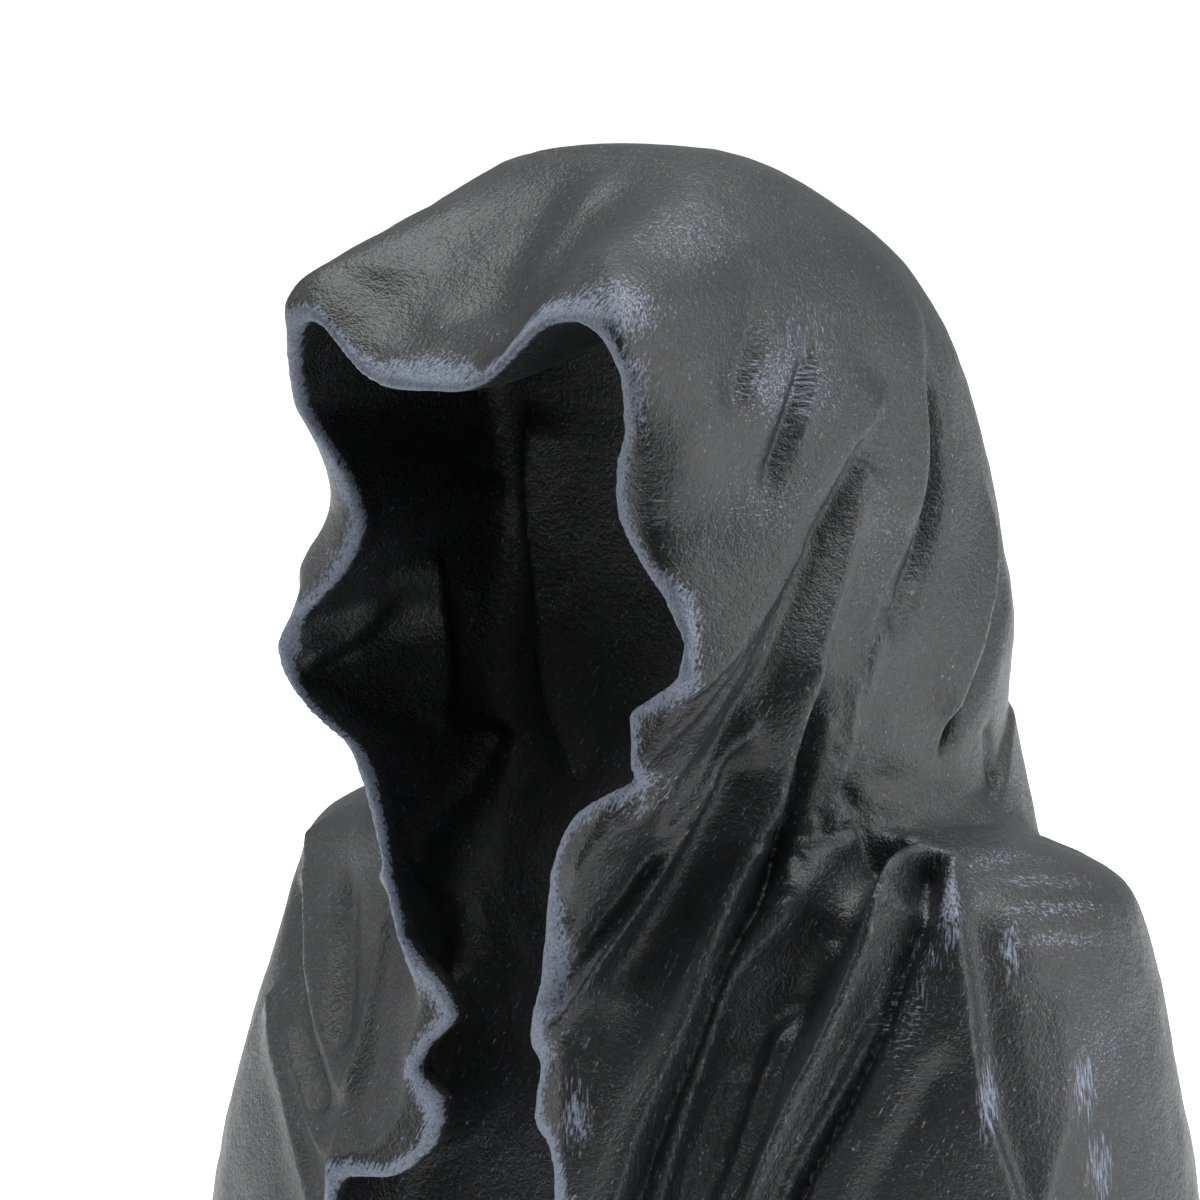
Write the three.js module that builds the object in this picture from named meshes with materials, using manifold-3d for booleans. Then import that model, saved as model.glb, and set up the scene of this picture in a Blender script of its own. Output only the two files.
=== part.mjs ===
// A faceless hooded figure, head and shoulders, cast in one piece and cut flat below.
// The hood is an empty cowl: a bowed brim above, a wavy open edge on both sides, and lapels that
// run down to the base. The cloak hangs from the hood over broad shoulders, with a low collar
// standing up behind. Millimetres, +Z up; the figure looks along -Y and its left side is +X.

import * as THREE from 'three';
import { mergeVertices } from 'three/addons/utils/BufferGeometryUtils.js';
import Module from 'manifold-3d';

// Whole figure
const HEIGHT = 67;
const BRIM_HEIGHT = 57.9;
const BRIM_BOW = 4.4;
const LIP = 1.6;
const AXIS_Y = -5;

// Height, then how far forward the edge of the opening stands
const RIM_FORWARD = [
  [-2, 24.8], [5, 23.8], [10, 22.6], [15, 21.5], [20, 21.0], [27, 20.8], [34, 20.4], [42, 20.2],
  [47.5, 20.7], [54, 23.0], [58, 24.4], [59.5, 23.4], [61, 21.4], [62.5, 19.2], [64, 16.4],
  [65.5, 12.6], [66.5, 9.2], [67, 6.5],
];

// Height, then half-width of the opening on the figure's left and on its right
const LEFT_EDGE = [
  [-2, 8.6], [7, 7.8], [11, 6.6], [14.5, 4.8], [16.8, 5.0], [19.3, 4.1], [22.6, 4.9], [27.3, 5.3],
  [28.8, 6.0], [29.8, 7.2], [30.5, 9.4], [31.7, 11.3], [35.2, 10.9], [36.4, 12.6], [38, 15.0],
  [39.3, 15.3], [41.8, 13.9], [44.5, 11.6], [47, 10.5], [49.4, 11.0], [52, 12.3], [55, 12.8],
  [58, 12.4], [62, 12],
];
const RIGHT_EDGE = [
  [-2, 8.2], [5.4, 8.3], [7.6, 8.4], [9.8, 6.6], [12, 3.6], [14.4, 1.9], [15.6, 2.0], [17.4, 4.2],
  [18.8, 3.6], [20.8, 1.8], [22.4, 2.8], [24.3, 5.8], [27, 7.1], [30.2, 8.3], [31.8, 9.4],
  [33.4, 12.7], [35.2, 14.6], [37.2, 15.2], [39.1, 14.3], [41, 11.9], [43.8, 10.0], [46, 9.3],
  [48.2, 10.1], [50.2, 11.4], [52, 12.2], [54.5, 11.8], [57, 11.3], [62, 11],
];

// Height, then the hood's half-width left and right, its depth behind, and where it is widest
const HOOD = [
  [-2, 23.0, 15, 15, 0], [10, 21.5, 14.5, 16, 0], [16, 20.3, 14.2, 17, 0], [20, 19.2, 14, 18, 0],
  [26, 17.4, 14.5, 19.2, 0], [32, 17.2, 16.2, 19.2, 0], [38, 17.1, 17.4, 20.2, 0],
  [44, 16.6, 17.0, 19.6, -0.5], [48, 16.0, 16.4, 18.1, -1], [52, 15.3, 15.8, 16.1, -1.5],
  [56, 14.4, 14.9, 13.7, -2.5], [59, 13.3, 14.0, 11.5, -3.5], [61.5, 11.8, 13.2, 9.0, -4.2],
  [64, 9.2, 11.4, 5.4, -5], [65.8, 6.4, 8.8, 1.6, -5.5], [66.7, 3.8, 5.8, -1.6, -5.8],
  [67, 1.6, 3.2, -4.2, -6],
];

// Height, then how the wall leaves the edge: 1 straight back, 2 rounded
const WALL_ROUNDING = [[20, 1.1], [31, 1.15], [36, 1.5], [43, 1.9], [58, 2.0]];

// Height, then the robe's half-width, its depth in front right and left, and its depth behind
const ROBE = [
  [-2, 33.0, 24.2, 20.8, 24.0], [4, 32.2, 23.3, 19, 23.2], [10, 31.2, 21.5, 17.4, 22.0],
  [16, 30.2, 18.4, 15.8, 20.6], [20, 29.6, 15.8, 15, 19.0], [23.6, 28.6, 14.3, 14, 17.2],
  [25.6, 27.8, 13.9, 13.0, 15.2], [27.2, 26.8, 13.2, 12, 13.6], [28.8, 24, 11.6, 10, 11],
];
const SHOULDER_HEIGHT = 28.1;
const SHOULDER_TILT = 0.8;
const SHOULDER_SLOPE = 0.9;
const SHOULDER_ROUNDING = 5;
const SOFT_JOIN = 3;

// Height, then half-width and depth of the collar that stands behind the hood
const COLLAR = [[22, 19.6, 22.0], [26.5, 18.6, 21.3], [29, 17.9, 20.9], [32, 17.4, 20.2], [34, 17.2, 19.9]];
const COLLAR_LOW = 28;
const COLLAR_RISE = 5;

// Height, then how far forward the back of the hollow lies, and the hollow's half-width inside
const HOLLOW_BACK = [
  [-2, 18.5], [10, 16.8], [20, 14.6], [25, 12.6], [29, 10.0], [34, 8.0], [42, 7.0], [50, 7.5], [58, 9],
];
const HOLLOW_WIDTH = [[-2, 9.5], [14, 8.6], [22, 8.2], [30, 8.6], [40, 9.4], [58, 9.6]];

// The folds are drawn as they are seen from in front and to the left, on an upright sheet through
// the middle of the figure: across and up from the sheet's middle, then the fold's height
// (a minus sign is a groove) and its half-width on either side of its line
const SHEET_TURN = 40;
const SHEET_TILT = 6;
const SHEET_MIDDLE = new THREE.Vector3(-4.75, -3.98, 39.5);
const FOLDS = [
  { name: 'roof, right ridge', line: [[-15, 19.6], [-9.3, 23], [-4, 25.4]],
    height: 0.8, sides: [2.6, 2.4] },
  { name: 'roof, hollow', line: [[-8.5, 16], [-5.2, 20], [-1, 26.6]], height: -0.9, sides: [2.6, 2] },
  { name: 'temple groove', line: [[9.6, 20.6], [8.5, 13.7], [7.6, 10.6]],
    height: -0.7, sides: [1.8, 1.8] },
  { name: 'second temple groove', line: [[12.6, 17], [11.6, 11.2], [9.5, 5.4]],
    height: -0.7, sides: [1.8, 1.8] },
  { name: 'cheek', line: [[4.6, 12.5], [5.4, 4]], height: 0.7, sides: [2.6, 3.2] },
  { name: 'cheek edge', line: [[17.3, 13.3], [12.9, 4.9], [7.7, -3.4], [5.6, -5.4]],
    height: 0.7, sides: [3, 1.8] },
  { name: 'valley behind the cheek', line: [[16, 9.4], [11.8, 0.4], [6, -8]],
    height: -1.4, sides: [1.9, 2] },
  { name: 'long ridge', line: [[16, 8.8], [12.6, -2.6], [8.9, -15.2], [4.6, -26], [-0.2, -38]],
    height: 1.3,
    sides: [1.9, 2] },
  { name: 'back groove', line: [[19.2, 17.5], [20.4, 9.5], [18.7, 0.4], [16.2, -5.6]],
    height: -0.9, sides: [2, 2] },
  { name: 'thin ridge', line: [[9.6, -6.6], [3, -17.4], [-2.6, -26.2]],
    height: 0.6, sides: [1.8, 1.8] },
  { name: 'armpit valley', line: [[17.2, -14.6], [12.6, -20.8], [9.2, -27.6], [6.2, -36]], height: -2.4,
    sides: [2.8, 2.8] },
  { name: 'fold in the valley', line: [[11.2, -24.5], [8.5, -30], [6.7, -36.4]],
    height: 1.5, sides: [1.8, 1.8] },
  { name: 'sleeve fold', line: [[18.4, -16.5], [15.4, -21], [12.8, -28.4], [9.6, -36]],
    height: 1, sides: [2, 2] },
  { name: 'sleeve groove', line: [[19.9, -16.5], [17.7, -23.2], [12.4, -34]],
    height: -1, sides: [2, 2] },
  { name: 'sleeve edge', line: [[21.4, -17], [22.5, -27], [24.6, -36]],
    height: 0.7, sides: [2.2, 2.2] },
  { name: 'right cape edge', line: [[-16.9, -14], [-17.3, -20], [-15.1, -30.4]],
    height: 0.7, sides: [2, 2] },
  { name: 'right lapel', line: [[-12.7, -17], [-14, -26], [-16.1, -37]], height: 0.6, sides: [2, 2] },
];

// Where the skin is sampled: closer together in front on the figure's left, where the folds are
const ARCS = [
  { from: -25, to: 115, steps: 36 },
  { from: 115, to: 245, steps: 19 },
  { from: 245, to: 335, steps: 17 },
];
const LEVELS = [
  { from: 0, to: 24, steps: 12 },
  { from: 24, to: 33, steps: 7 },
  { from: 33, to: 57, steps: 12 },
  { from: 57, to: 64, steps: 5 },
  { from: 64, to: 66.7, steps: 4 },
];
const POCKET_LEVELS = [
  { from: -2, to: 8, steps: 2 },
  { from: 8, to: 42, steps: 21 },
  { from: 42, to: 56.4, steps: 6 },
];
const WALL_STEPS = 4;
const CEILING_STEPS = 9;

// A smooth curve through stations [x, a, b, ...] without overshoot, flat beyond its ends
function makeCurve(stations) {
  const last = stations.length - 1;
  const width = stations[0].length - 1;
  const slope = stations.map(() => new Array(width).fill(0));
  const rise = (i, k) => {
    const [here, next] = [stations[i], stations[i + 1]];
    return (next[k + 1] - here[k + 1]) / (next[0] - here[0]);
  };
  for (let k = 0; k < width; k += 1) {
    slope[0][k] = rise(0, k);
    slope[last][k] = rise(last - 1, k);
    for (let i = 1; i < last; i += 1) {
      const before = rise(i - 1, k);
      const after = rise(i, k);
      if (before * after <= 0) continue;
      const stepBefore = stations[i][0] - stations[i - 1][0];
      const stepAfter = stations[i + 1][0] - stations[i][0];
      const weightBefore = 2 * stepAfter + stepBefore;
      const weightAfter = stepAfter + 2 * stepBefore;
      slope[i][k] = (weightBefore + weightAfter) / (weightBefore / before + weightAfter / after);
    }
  }
  return (x) => {
    const at = Math.min(Math.max(x, stations[0][0]), stations[last][0]);
    let i = 0;
    while (i < last - 1 && at > stations[i + 1][0]) i += 1;
    const step = stations[i + 1][0] - stations[i][0];
    const t = (at - stations[i][0]) / step;
    const values = [];
    for (let k = 0; k < width; k += 1) {
      values.push(
        stations[i][k + 1] * (2 * t ** 3 - 3 * t ** 2 + 1)
        + slope[i][k] * step * (t ** 3 - 2 * t ** 2 + t)
        + stations[i + 1][k + 1] * (3 * t ** 2 - 2 * t ** 3)
        + slope[i + 1][k] * step * (t ** 3 - t ** 2),
      );
    }
    return values;
  };
}

const rimForward = makeCurve(RIM_FORWARD);
const leftEdge = makeCurve(LEFT_EDGE);
const rightEdge = makeCurve(RIGHT_EDGE);
const hoodSize = makeCurve(HOOD);
const wallRounding = makeCurve(WALL_ROUNDING);
const robeSize = makeCurve(ROBE);
const collarSize = makeCurve(COLLAR);
const hollowBack = makeCurve(HOLLOW_BACK);
const hollowWidth = makeCurve(HOLLOW_WIDTH);

function ease(value) {
  const t = Math.min(Math.max(value, 0), 1);
  return t * t * (3 - 2 * t);
}

function mix(a, b, share) {
  return a + (b - a) * share;
}

// The middle of the brim hangs below its two corners
function bow(x, y) {
  return BRIM_BOW * Math.exp(-(((x + 1) / 7.2) ** 4)) * ease((-y - 4) / 19);
}

// Each shape below is a number that is under 1 inside it
function hoodShape(x, y, z) {
  const level = z + bow(x, y);
  if (level > HEIGHT) return 2;
  const rim = -rimForward(level)[0];
  const [wideLeft, wideRight, behind, middle] = hoodSize(level);
  const share = ease((x + 1.5) / 3);
  const wide = mix(wideRight, wideLeft, share);
  const edge = mix(rightEdge(level)[0], leftEdge(level)[0], share) + LIP;
  const closing = 1 - ease((level - 59) / 8);
  const flat = Math.min(edge, wide - 0.4) * closing;
  if (y < middle) {
    const power = wallRounding(level)[0];
    const side = Math.max(Math.abs(x) - flat, 0) / Math.max(wide - flat, 0.3);
    const front = (middle - y) / Math.max(middle - rim, 0.5);
    return (side ** power + front ** (power + 0.6)) ** (1 / power);
  }
  const rear = (y - middle) / Math.max(behind - middle, 0.5);
  return ((Math.abs(x) / Math.max(wide, 0.3)) ** 2.1 + rear ** 2.1) ** (1 / 2.1);
}

function robeShape(x, y, z) {
  const top = SHOULDER_HEIGHT - SHOULDER_TILT * Math.tanh(x / 8) - SHOULDER_SLOPE * (Math.abs(x) / 27) ** 4;
  if (z > top) return 2;
  const sinking = Math.max(1 - (top - z) / SHOULDER_ROUNDING, 0);
  const [wide, frontRight, frontLeft, behind] = robeSize(z);
  const share = ease((x + 4) / 8);
  const depth = y < 0 ? mix(frontRight, frontLeft, share) : behind;
  const power = y < 0 ? 2.2 + 0.8 * share : 2.2;
  const shape = ((Math.abs(x) / wide) ** power + (Math.abs(y) / depth) ** power) ** (1 / power);
  return shape + 0.3 * sinking ** 3;
}

function collarShape(x, y, z) {
  const top = COLLAR_LOW + COLLAR_RISE * ease((y - 5) / 9);
  if (z > top || y < -3) return 2;
  const [wide, behind] = collarSize(z);
  const depth = y < 0 ? wide : behind;
  return ((Math.abs(x) / wide) ** 2.1 + (Math.abs(y) / depth) ** 2.1) ** (1 / 2.1);
}

// Distance from the figure's upright axis to the skin, without folds
function plainRadius(angle, z) {
  const towardX = Math.sin(angle);
  const towardY = -Math.cos(angle);
  const radii = [hoodShape, robeShape, collarShape].map((shape) => {
    let inside = 0;
    let outside = 48;
    if (shape(0, AXIS_Y, z) >= 1) return 0;
    for (let i = 0; i < 26; i += 1) {
      const middle = (inside + outside) / 2;
      if (shape(towardX * middle, AXIS_Y + towardY * middle, z) < 1) inside = middle;
      else outside = middle;
    }
    return inside;
  });
  const [hood, robe, collar] = radii;
  const body = Math.max(hood, robe);
  const overlap = Math.max(SOFT_JOIN - Math.abs(hood - robe), 0) / SOFT_JOIN;
  return Math.max(body + overlap * overlap * SOFT_JOIN / 4, collar);
}

// The folds' drawing sheet
const turn = THREE.MathUtils.degToRad(SHEET_TURN);
const tilt = THREE.MathUtils.degToRad(SHEET_TILT);
const sheetAcross = new THREE.Vector3(Math.cos(turn), Math.sin(turn), 0);
const sheetOut = new THREE.Vector3(Math.sin(turn), -Math.cos(turn), Math.tan(tilt)).normalize();
const sheetUp = new THREE.Vector3().crossVectors(sheetOut, sheetAcross);

const foldLines = FOLDS.map((fold) => {
  const points = fold.line.map(([across, up]) => new THREE.Vector2(across, up));
  return { ...fold, points: new THREE.SplineCurve(points).getPoints(24) };
});

// How far one fold lifts the skin at a place on the sheet
function foldLift(fold, place) {
  let nearest = Infinity;
  let side = 0;
  let along = 0;
  const last = fold.points.length - 1;
  for (let i = 0; i < last; i += 1) {
    const start = fold.points[i];
    const step = fold.points[i + 1].clone().sub(start);
    const from = place.clone().sub(start);
    const share = Math.min(Math.max(from.dot(step) / step.lengthSq(), 0), 1);
    const off = from.clone().addScaledVector(step, -share);
    if (off.length() >= nearest) continue;
    nearest = off.length();
    side = Math.sign(step.x * off.y - step.y * off.x);
    along = (i + share) / last;
  }
  const width = side > 0 ? fold.sides[1] : fold.sides[0];
  const ends = ease(along / 0.15) * ease((1 - along) / 0.15);
  return fold.height * ends * Math.exp(-((nearest / width) ** 2));
}

function skinPoint(angle, z) {
  const radius = plainRadius(angle, z);
  const out = new THREE.Vector3(Math.sin(angle), -Math.cos(angle), 0);
  const point = new THREE.Vector3(0, AXIS_Y, z).addScaledVector(out, radius);
  const fromMiddle = point.clone().sub(SHEET_MIDDLE);
  const place = new THREE.Vector2(fromMiddle.dot(sheetAcross), fromMiddle.dot(sheetUp));
  const facing = ease((out.dot(sheetOut) + 0.1) / 0.4);
  let lift = 0;
  for (const fold of foldLines) lift += foldLift(fold, place);
  const room = ease((radius - 2) / 4);
  return point.addScaledVector(out, lift * facing * room);
}

function spread(parts, withEnd) {
  const values = [];
  for (const { from, to, steps } of parts) {
    for (let i = 0; i < steps; i += 1) values.push(mix(from, to, i / steps));
  }
  if (withEnd) values.push(parts[parts.length - 1].to);
  return values;
}

function addTriangles(positions, ...corners) {
  for (const corner of corners) positions.push(corner.x, corner.y, corner.z);
}

// Two triangles across the shorter diagonal of a four-cornered patch
function addPatch(positions, a, b, c, d) {
  if (a.distanceTo(c) < b.distanceTo(d)) addTriangles(positions, a, b, c, a, c, d);
  else addTriangles(positions, a, b, d, b, c, d);
}

function addWalls(positions, rings) {
  const count = rings[0].length;
  for (let j = 0; j < rings.length - 1; j += 1) {
    for (let i = 0; i < count; i += 1) {
      const next = (i + 1) % count;
      addPatch(positions, rings[j][i], rings[j][next], rings[j + 1][next], rings[j + 1][i]);
    }
  }
}

function addFloor(positions, ring, middle) {
  for (let i = 0; i < ring.length; i += 1) {
    const next = (i + 1) % ring.length;
    addTriangles(positions, middle, ring[next], ring[i]);
  }
}

function closedBody(positions) {
  const geometry = new THREE.BufferGeometry();
  geometry.setAttribute('position', new THREE.Float32BufferAttribute(positions, 3));
  return mergeVertices(geometry, 1e-4);
}

function makeSkin() {
  const angles = spread(ARCS, false).map((degrees) => THREE.MathUtils.degToRad(degrees));
  const levels = spread(LEVELS, true);
  const rings = levels.map((z) => angles.map((angle) => skinPoint(angle, z)));
  const crown = rings[rings.length - 1].slice().reverse();
  const positions = [];
  addWalls(positions, rings);
  addFloor(positions, rings[0], new THREE.Vector3(0, AXIS_Y, levels[0]));
  addFloor(positions, crown, new THREE.Vector3(0, -6, HEIGHT));
  return closedBody(positions);
}

// The hollow, worked out as if the brim were level and then bowed with it
function hollowRing(level, shrink) {
  const front = -rimForward(Math.min(level, 58))[0];
  const back = -hollowBack(level)[0];
  const inside = hollowWidth(level)[0];
  const widthAt = (edge, share) => edge + Math.min(inside - edge, 0) * share ** 1.2;
  const ring = [];
  const outside = front - 6;
  const corner = 1.6;
  for (const [sign, edge] of [[1, leftEdge(level)[0]], [-1, rightEdge(level)[0]]]) {
    const wall = [[edge, outside], [edge, front]];
    for (let i = 1; i <= WALL_STEPS; i += 1) {
      const share = i / WALL_STEPS;
      wall.push([widthAt(edge, share), mix(front, back - corner, share)]);
    }
    wall.push([widthAt(edge, 1) - corner, back]);
    const points = wall.map(([x, y]) => new THREE.Vector3(sign * (x - shrink), y - shrink, level));
    if (sign < 0) points.reverse();
    ring.push(...points);
  }
  for (const point of ring) point.z -= bow(point.x, point.y);
  return ring;
}

function makeHollow() {
  const rings = spread(POCKET_LEVELS, true).map((level) => hollowRing(level, 0));
  rings.push(hollowRing(BRIM_HEIGHT - 0.5, 0.5));
  rings.push(hollowRing(BRIM_HEIGHT, 1.4));
  const positions = [];
  addWalls(positions, rings);
  const floor = rings[0];
  addFloor(positions, floor, floor[0].clone().lerp(floor[floor.length / 2], 0.5));
  // The ceiling goes across from the left wall to the right one, bowed like the brim
  const top = rings[rings.length - 1];
  const rows = [];
  for (let i = 0; i < top.length / 2; i += 1) {
    const left = top[i];
    const right = top[top.length - 1 - i];
    const row = [left];
    for (let k = 1; k < CEILING_STEPS; k += 1) {
      const point = left.clone().lerp(right, k / CEILING_STEPS);
      point.z = BRIM_HEIGHT - bow(point.x, point.y);
      row.push(point);
    }
    rows.push([...row, right]);
  }
  for (let i = 0; i < rows.length - 1; i += 1) {
    for (let k = 0; k < CEILING_STEPS; k += 1) {
      addPatch(positions, rows[i][k], rows[i + 1][k], rows[i + 1][k + 1], rows[i][k + 1]);
    }
  }
  // Under the bow, the ceiling's front and back edges are closed against the walls' straight ones
  const front = rows[0];
  const back = rows[rows.length - 1];
  for (let k = 1; k < CEILING_STEPS; k += 1) {
    addTriangles(positions, front[0], front[k], front[k + 1]);
    addTriangles(positions, back[0], back[k + 1], back[k]);
  }
  return closedBody(positions);
}

const wasm = await Module();
wasm.setup();

function toSolid(geometry) {
  return new wasm.Manifold(new wasm.Mesh({
    numProp: 3,
    vertProperties: new Float32Array(geometry.attributes.position.array),
    triVerts: new Uint32Array(geometry.index.array),
  }));
}

function toGeometry(solid) {
  const mesh = solid.getMesh();
  const geometry = new THREE.BufferGeometry();
  geometry.setAttribute('position', new THREE.BufferAttribute(new Float32Array(mesh.vertProperties), 3));
  geometry.setIndex(new THREE.BufferAttribute(new Uint32Array(mesh.triVerts), 1));
  return geometry;
}

const casting = toGeometry(toSolid(makeSkin()).subtract(toSolid(makeHollow())));

// Stand it on the ground with the middle of its outline over the origin
casting.computeBoundingBox();
const box = casting.boundingBox;
casting.translate(-(box.min.x + box.max.x) / 2, -(box.min.y + box.max.y) / 2, -box.min.z);
casting.computeVertexNormals();

const blackPaint = new THREE.MeshStandardMaterial({ color: 0x26272a, roughness: 0.45, metalness: 0 });

const figure = new THREE.Mesh(casting, blackPaint);
figure.name = 'hooded_figure';

const statue = new THREE.Group();
statue.name = 'ghost_garden_statue';
statue.add(figure);

export default statue;
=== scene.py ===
# A faceless hooded figure, head and shoulders, cast in one piece: its fine surface, its paint
# and a plain studio. The figure is worked out in millimetres as a field that is negative inside
# the casting; the field's zero level becomes the mesh. The figure looks along -Y and +Z is up.
from math import cos, radians, sin

import bpy
import numpy as np
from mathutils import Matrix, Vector
from mathutils.kdtree import KDTree


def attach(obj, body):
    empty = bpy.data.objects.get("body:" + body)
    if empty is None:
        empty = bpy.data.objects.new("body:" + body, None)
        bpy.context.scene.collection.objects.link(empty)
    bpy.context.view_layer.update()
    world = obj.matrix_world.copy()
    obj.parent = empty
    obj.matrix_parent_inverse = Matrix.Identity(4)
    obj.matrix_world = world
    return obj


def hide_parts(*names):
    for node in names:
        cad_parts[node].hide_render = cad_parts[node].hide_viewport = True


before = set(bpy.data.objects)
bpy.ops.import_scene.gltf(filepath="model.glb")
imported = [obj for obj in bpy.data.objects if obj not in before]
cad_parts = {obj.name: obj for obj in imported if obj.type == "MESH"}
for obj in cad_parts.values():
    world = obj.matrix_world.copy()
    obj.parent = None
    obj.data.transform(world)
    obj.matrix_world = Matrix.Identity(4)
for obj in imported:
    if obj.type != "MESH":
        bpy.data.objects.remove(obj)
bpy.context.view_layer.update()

NODE = "hooded_figure"
MM = 0.001

# Fineness of the surface, in millimetres and triangles
GRID_STEP = 0.3
MOST_TRIANGLES = 192000

# The picture: where the camera looks from and at, and how much it takes in
CAMERA_TURN = 40
CAMERA_RISE = 6
CAMERA_TARGET = np.array([-4.75, -3.98, 39.5])
CAMERA_DISTANCE = 500.0
CAMERA_LENS = 250

# Whole figure
CROWN = np.array([0, -6, 67])
BRIM_HEIGHT = 57.9
BRIM_BOW = 4.4
LIP = 1.0
CLOTH = 1.7

# Height, then where the edge of the opening stands
RIM_Y = [
    (-2, -24.8), (5, -23.8), (10, -22.6), (15, -21.5), (20, -21.0), (27, -20.8), (34, -20.4),
    (42, -20.2), (47.5, -20.7), (54, -23.0), (58, -24.4), (59.5, -23.4), (61, -21.4), (62.5, -19.2),
    (64, -16.4), (65.5, -12.6), (66.5, -9.2), (67, -6.5),
]
# Height, then half-width of the opening on the figure's left and on its right
LEFT_EDGE = [
    (-2, 8.6), (7, 7.8), (11, 6.6), (14.5, 4.8), (16.8, 5.0), (19.3, 4.1), (22.6, 4.9), (27.3, 5.3),
    (28.8, 6.0), (29.8, 7.2), (30.5, 9.4), (31.7, 11.3), (34.1, 11.0), (35.2, 10.9), (36.4, 12.6),
    (38.0, 15.0), (39.3, 15.3), (41.8, 13.9), (44.5, 11.6), (47.0, 10.5), (49.4, 11.0), (52.0, 12.3),
    (55, 12.8), (58, 12.4), (62, 12),
]
RIGHT_EDGE = [
    (-2, 8.2), (5.4, 8.3), (7.6, 8.4), (9.8, 6.6), (12.0, 3.6), (14.4, 1.9), (15.6, 2.0), (17.4, 4.2),
    (18.8, 3.6), (20.8, 1.8), (22.4, 2.8), (24.3, 5.8), (27, 7.0), (30.2, 8.0), (31.8, 9.2),
    (33.4, 12.7), (35.2, 14.6), (37.2, 15.2), (39.1, 14.3), (41.0, 11.9), (43.8, 10.0), (46, 9.3),
    (48.2, 10.1), (50.2, 11.4), (52.0, 12.2), (54.5, 11.8), (57, 11.0), (62, 10.6),
]
# Height, then how wide the hood's front is on the left and on the right, evened out
FRONT_LEFT = [
    (-2, 8.8), (7, 7.8), (13, 6.4), (20, 5.8), (26, 6.8), (31, 9.6), (35, 12.4), (38.5, 14.2),
    (41.8, 13.6), (44.5, 11.9), (47, 11.0), (49.4, 11.2), (52, 12.2), (55, 12.8), (58, 12.4), (62, 12),
]
FRONT_RIGHT = [
    (-2, 8.2), (8, 7.8), (12, 5.0), (15, 3.8), (18, 4.0), (21, 3.4), (24.3, 5.2), (28, 6.6), (31.5, 8.7),
    (33.6, 12.2), (35.2, 14.0), (37.2, 14.9), (39.1, 14.0), (41.0, 11.8), (43.8, 9.9), (46, 9.2),
    (48.2, 9.9), (50.2, 11.1), (52.0, 11.9), (54.5, 11.5), (57, 10.7), (62, 10.3),
]
# Height, then the hood's half-width left and right, its depth behind, and where it is widest
HOOD = [
    (-2, 23.0, 15, 15, 0), (10, 21.5, 14.5, 16, 0), (16, 20.3, 14.2, 17, 0), (20, 19.2, 14, 18, 0),
    (26, 17.4, 14.5, 19.2, 0), (32, 17.2, 16.2, 19.2, 0), (38, 17.1, 17.4, 20.2, 0),
    (44, 16.4, 17.0, 19.5, -0.5), (48, 16.1, 16.4, 18.2, -1), (52, 15.6, 15.8, 16.6, -1.5),
    (56, 14.9, 14.9, 14.4, -2.5), (59, 13.8, 14.0, 12.1, -3.5), (61.5, 12.2, 13.2, 9.4, -4.2),
    (64, 9.5, 12.0, 5.7, -5), (65.8, 6.8, 10.0, 2.0, -5.5), (66.7, 4.4, 7.2, -1.2, -5.8),
    (67.2, 1.8, 4.0, -4.2, -6),
]
# Height, then how the wall leaves the edge: 1 straight back, 2 rounded
WALL_ROUNDING = [(20, 1.1), (31, 1.15), (36, 1.5), (43, 1.9), (58, 2.0)]
# Height, then the robe's half-width, its depth in front right and left, and its depth behind
ROBE = [
    (-2, 33.0, 24.2, 20.8, 24.0), (4, 32.2, 23.3, 19, 23.2), (10, 31.2, 21.5, 17.4, 22.0),
    (16, 30.2, 18.4, 15.8, 20.6), (20, 29.6, 15.8, 15, 19.0), (23.6, 28.6, 14.3, 14, 17.2),
    (25.6, 27.8, 13.9, 13.0, 15.2), (27.2, 26.8, 13.2, 12, 13.6), (28.8, 24, 11.6, 10, 11),
]
SHOULDER_HEIGHT = 28.1
SHOULDER_TILT = 0.8
SHOULDER_SLOPE = (0.9, 0.2)
SHOULDER_ROUNDING = 5
# Height, then half-width and depth of the collar that stands behind the hood
COLLAR = [(22, 19.6, 22.0), (26.5, 18.6, 21.3), (29, 17.9, 20.9), (32, 17.4, 20.2), (34, 17.2, 19.9)]
COLLAR_LOW = 28
COLLAR_RISE = 5
# Height, then how far back the hollow goes, and its half-width inside
HOLLOW_BACK = [
    (-2, -18.5), (10, -16.8), (20, -14.6), (25, -12.6), (29, -10.0), (34, -8.0), (42, -7.0),
    (50, -7.5), (58, -9),
]
HOLLOW_WIDTH = [(-2, 9.5), (14, 8.6), (22, 8.2), (30, 8.6), (40, 9.4), (50, 9.6), (58, 9.6)]

# The picture that the folds are drawn on, and how deep a fold reaches into the cloth
PICTURE = (CAMERA_TURN, CAMERA_RISE)
FOLD_REACH = 5.0


def fold(name, points, height, left, right, fade=(2, 3), power=1.5, view=PICTURE, taper=1.0, rough=0):
    """A ridge, or a groove where height is negative, along a line drawn on a picture.

    points are across and up from the picture's middle, from the top down. left and right are the
    fold's widths as the picture shows them, and fade is the length over which it begins and ends,
    all in millimetres. power is 1 for a sharp crest and 3 for a round roll, and taper is how much
    wider the fold ends than it begins. rough turns the fold into crumpled cloth of that fineness.
    """
    return dict(name=name, points=points, height=height, left=left, right=right, fade=fade,
                power=power, view=view, taper=taper, rough=rough)


# A fade for folds that begin or run on beyond what is modelled
ON = 0.1


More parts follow.
